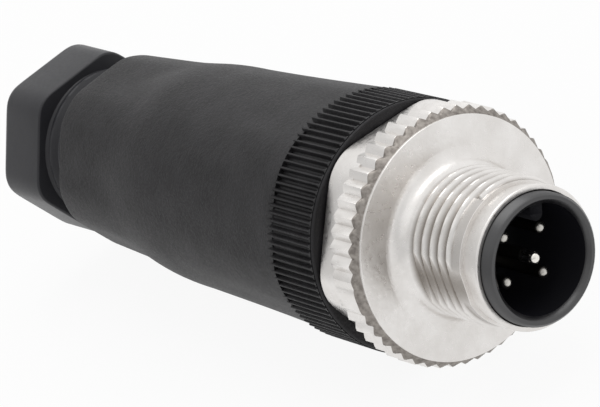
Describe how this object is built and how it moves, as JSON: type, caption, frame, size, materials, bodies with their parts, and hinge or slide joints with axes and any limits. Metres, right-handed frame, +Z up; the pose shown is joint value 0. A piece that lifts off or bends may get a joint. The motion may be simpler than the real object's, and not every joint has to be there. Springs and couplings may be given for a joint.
{
  "type": "M12 circular connector, straight field-wired plug",
  "caption": "Straight field-wired M12 plug: metal coupling screw with knurl and spanner flats, contact pins in a keyed insert, ribbed plastic grip, cable gland with hexagonal nut.",
  "frame": {"origin": "centre of the mating face, on the plug's axis", "axes": "+X along the plug's axis, out of the mating face; +Z up, square to the lower flat of the gland nut; the coding key leans 22 degrees from +Z towards +Y"},
  "size_m": [0.0624, 0.0204, 0.0204],
  "materials": {
    "nickel": "satin nickel plate on die-cast zinc",
    "insert": "moulded black",
    "contact": "plated and polished",
    "screw_steel": "zinc plate",
    "rubber": "matte",
    "housing": "fine moulded grain",
    "washer": "smooth",
    "nut": "smooth"
  },
  "bodies": {
    "grip": {"grip_housing": "housing", "cable_seal": "rubber", "clamp_cage": "housing"},
    "seal_ring": {"carrier_seal": "rubber"},
    "carrier": {"contact_carrier": "insert", "contact_pin_1": "contact", "contact_pin_2": "contact", "contact_pin_3": "contact", "contact_pin_4": "contact", "contact_pin_5": "contact", "terminal_screws": "screw_steel"},
    "coupling": {"coupling_screw": "nickel"},
    "washer": {"thrust_washer": "washer"},
    "gland_nut": {"gland_nut": "nut"}
  },
  "joints": [
    {"name": "carrier_travel", "type": "slide", "parent": "grip", "child": "seal_ring", "axis": [1, 0, 0], "range_m": [0, 0.005]},
    {"name": "carrier_turn", "type": "hinge", "parent": "seal_ring", "child": "carrier", "pos_m": [0, 0, 0], "axis": [1, 0, 0], "range_deg": [0, 1799]},
    {"name": "coupling_spin", "type": "hinge", "parent": "carrier", "child": "coupling", "pos_m": [-0.01, 0, 0], "axis": [1, 0, 0], "continuous": true},
    {"name": "gland_travel", "type": "slide", "parent": "grip", "child": "washer", "axis": [1, 0, 0], "range_m": [-0.0035, 0.0036]},
    {"name": "gland_turn", "type": "hinge", "parent": "washer", "child": "gland_nut", "pos_m": [-0.06, 0, 0], "axis": [1, 0, 0], "range_deg": [-990, 1018]}
  ],
  "couplings": [
    {"joint": "carrier_travel", "follows": "carrier_turn", "m_per_rad": 0.00015915},
    {"joint": "gland_travel", "follows": "gland_turn", "m_per_rad": 0.00020213}
  ]
}
